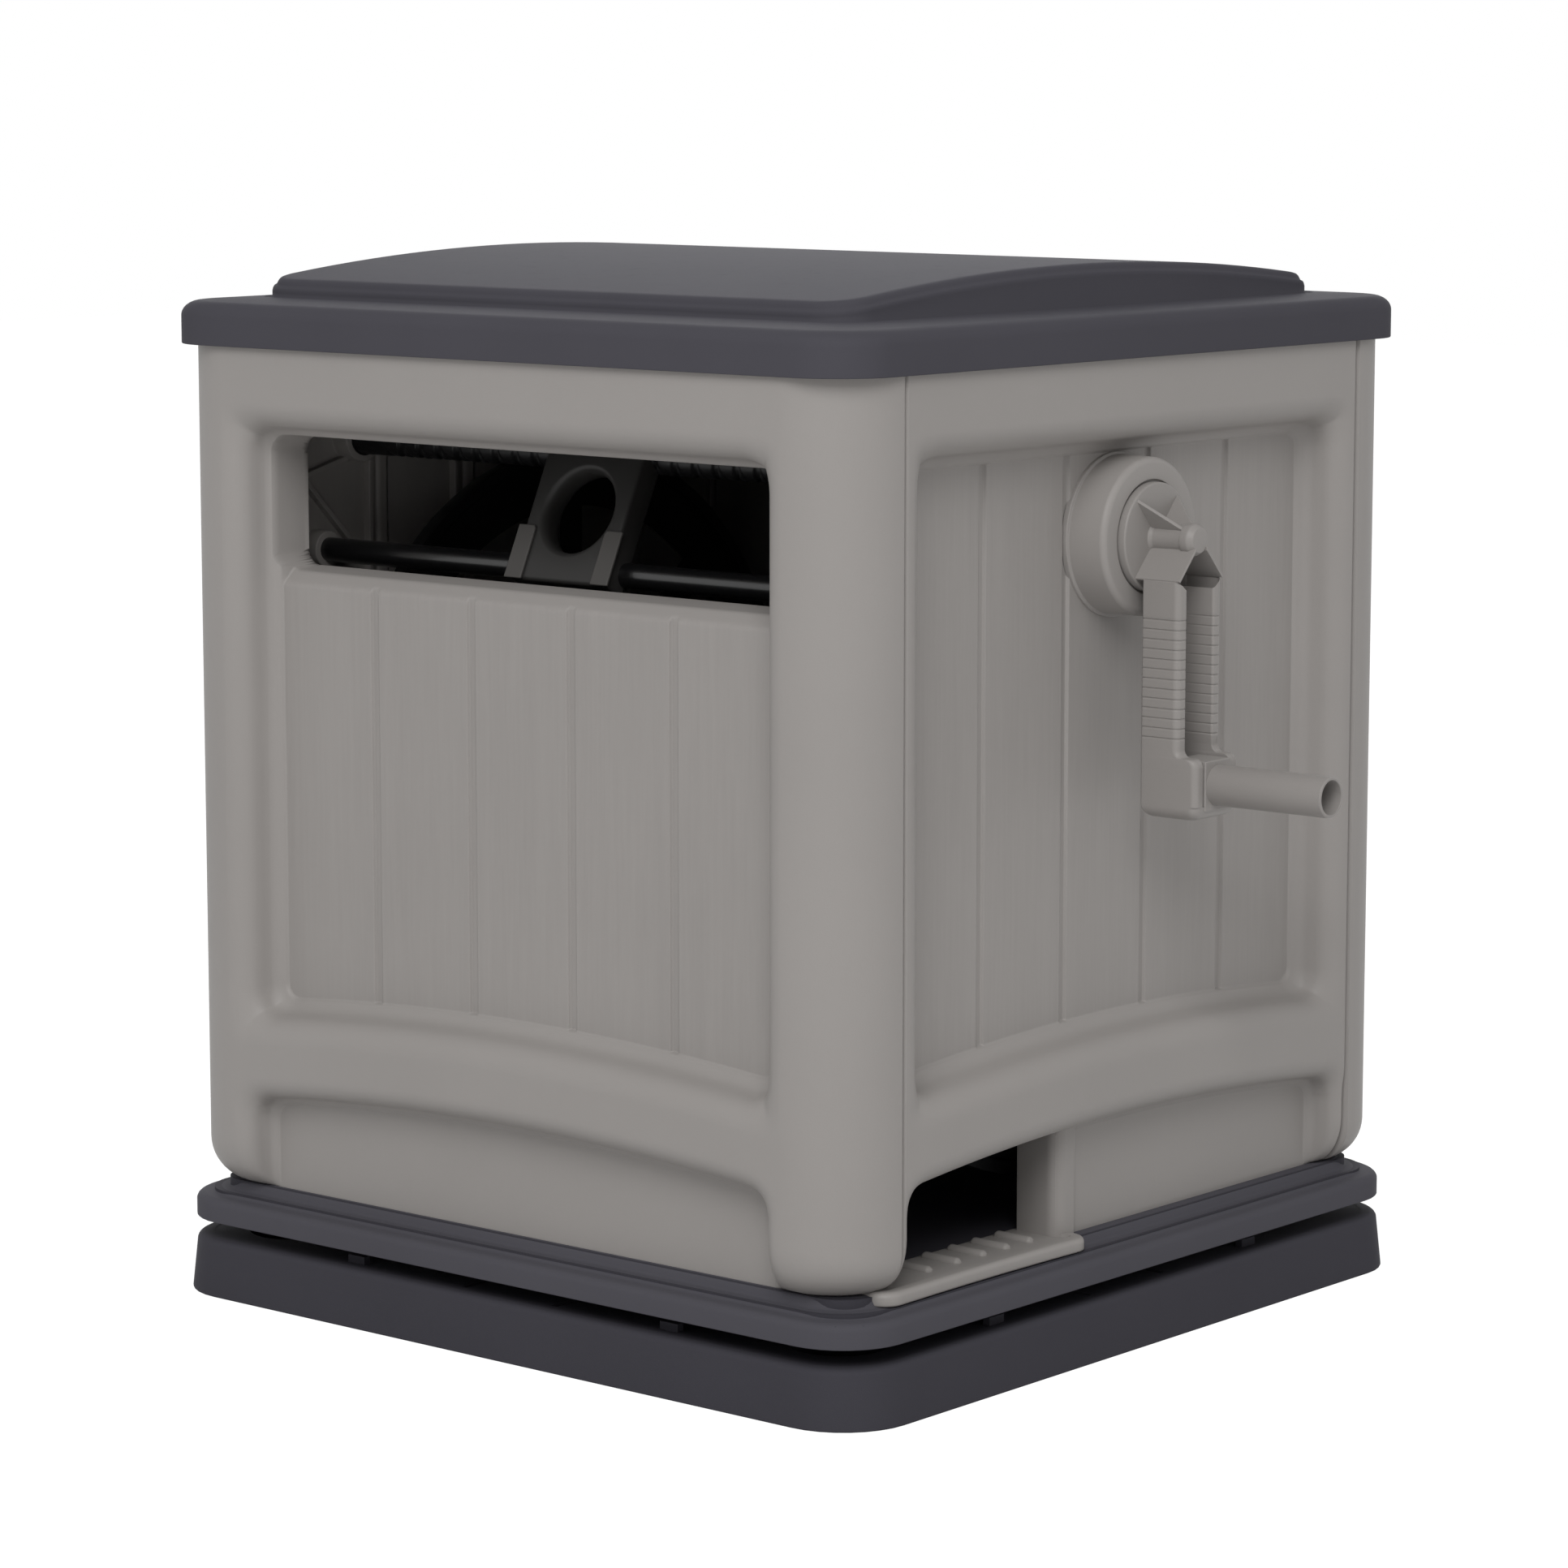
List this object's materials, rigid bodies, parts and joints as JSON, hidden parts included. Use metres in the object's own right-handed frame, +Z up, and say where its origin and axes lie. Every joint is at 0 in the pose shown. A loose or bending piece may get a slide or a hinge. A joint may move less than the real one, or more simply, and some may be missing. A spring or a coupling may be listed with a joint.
{
  "type": "hose reel box",
  "caption": "Boxed garden hose reel on a swivelling ground plate: panelled case with hinged lid, folding crank, geared reel and self-reversing level wind.",
  "frame": {"origin": "middle of the ground plate's underside, on the ground", "axes": "+X towards the crank side, -Y towards the front with the hose window, +Z up"},
  "size_m": [0.6942, 0.5852, 0.6591],
  "materials": {
    "taupe_plastic": "wood-grained and stippled moulding",
    "slate_plastic": "stippled moulding",
    "black_plastic": "moulded",
    "black_rod": "black coated tube",
    "steel": "zinc plated",
    "brass": "turned",
    "rubber": "matt"
  },
  "bodies": {
    "ground_base": {"base_plate": "slate_plastic", "swivel_glide": "black_plastic", "swivel_cap": "slate_plastic", "cap_screws": "steel"},
    "housing": {"turntable": "slate_plastic", "front_panel": "taupe_plastic", "back_panel": "taupe_plastic", "left_panel": "taupe_plastic", "right_panel": "taupe_plastic", "foot_tread": "taupe_plastic", "panel_screws": "steel", "guide_rod": "black_rod", "crank_bush": "black_plastic", "reel_bush": "black_plastic", "screw_bushes": "black_plastic", "idler_axle": "steel", "idler_clip": "steel", "inlet_elbow": "black_plastic", "inlet_seals": "rubber", "inlet_screws": "steel", "hinge_leaves": "slate_plastic", "hinge_pins": "steel", "hinge_screws": "steel"},
    "lid": {"lid": "slate_plastic"},
    "reel": {"reel_drum": "black_plastic", "left_flange": "black_plastic", "right_flange": "black_plastic", "ring_gear": "black_plastic", "water_elbow": "black_plastic", "outlet_fitting": "brass", "reel_bolts": "steel"},
    "crank": {"crank_arm": "taupe_plastic", "crank_shaft": "steel", "drive_pinion": "black_plastic", "wind_pinion": "black_plastic", "shaft_clip": "steel", "handle_pin": "steel"},
    "handle": {"crank_handle": "taupe_plastic"},
    "idler": {"idler_gear": "black_plastic"},
    "level_wind": {"level_screw": "black_plastic", "screw_gear": "black_plastic"},
    "guide": {"hose_guide": "black_plastic", "guide_clips": "slate_plastic", "guide_follower": "brass"}
  },
  "joints": [
    {"name": "swivel", "type": "hinge", "parent": "ground_base", "child": "housing", "pos_m": [0, 0, 0], "axis": [0, 0, 1], "continuous": true},
    {"name": "lid_hinge", "type": "hinge", "parent": "housing", "child": "lid", "pos_m": [0, 0.293, 0.60119], "axis": [-1, 0, 0], "range_deg": [0, 100]},
    {"name": "reel_spin", "type": "hinge", "parent": "housing", "child": "reel", "pos_m": [0, 0.007, 0.312], "axis": [1, 0, 0], "continuous": true},
    {"name": "crank_spin", "type": "hinge", "parent": "housing", "child": "crank", "pos_m": [0, 0.007, 0.496], "axis": [1, 0, 0], "continuous": true},
    {"name": "idler_spin", "type": "hinge", "parent": "housing", "child": "idler", "pos_m": [0, -0.07034, 0.47194], "axis": [1, 0, 0], "continuous": true},
    {"name": "screw_spin", "type": "hinge", "parent": "housing", "child": "level_wind", "pos_m": [0, -0.15004, 0.5403], "axis": [1, 0, 0], "continuous": true},
    {"name": "handle_fold", "type": "hinge", "parent": "crank", "child": "handle", "pos_m": [0.3035, 0.007, 0.35], "axis": [0, 1, 0], "range_deg": [-90, 0]},
    {"name": "guide_slide", "type": "slide", "parent": "housing", "child": "guide", "axis": [1, 0, 0], "range_m": [-0.103, 0.137]}
  ],
  "couplings": [
    {"joint": "crank_spin", "follows": "reel_spin", "ratio": -2.0667},
    {"joint": "idler_spin", "follows": "reel_spin", "ratio": 0.72333},
    {"joint": "screw_spin", "follows": "reel_spin", "ratio": -0.96444}
  ]
}
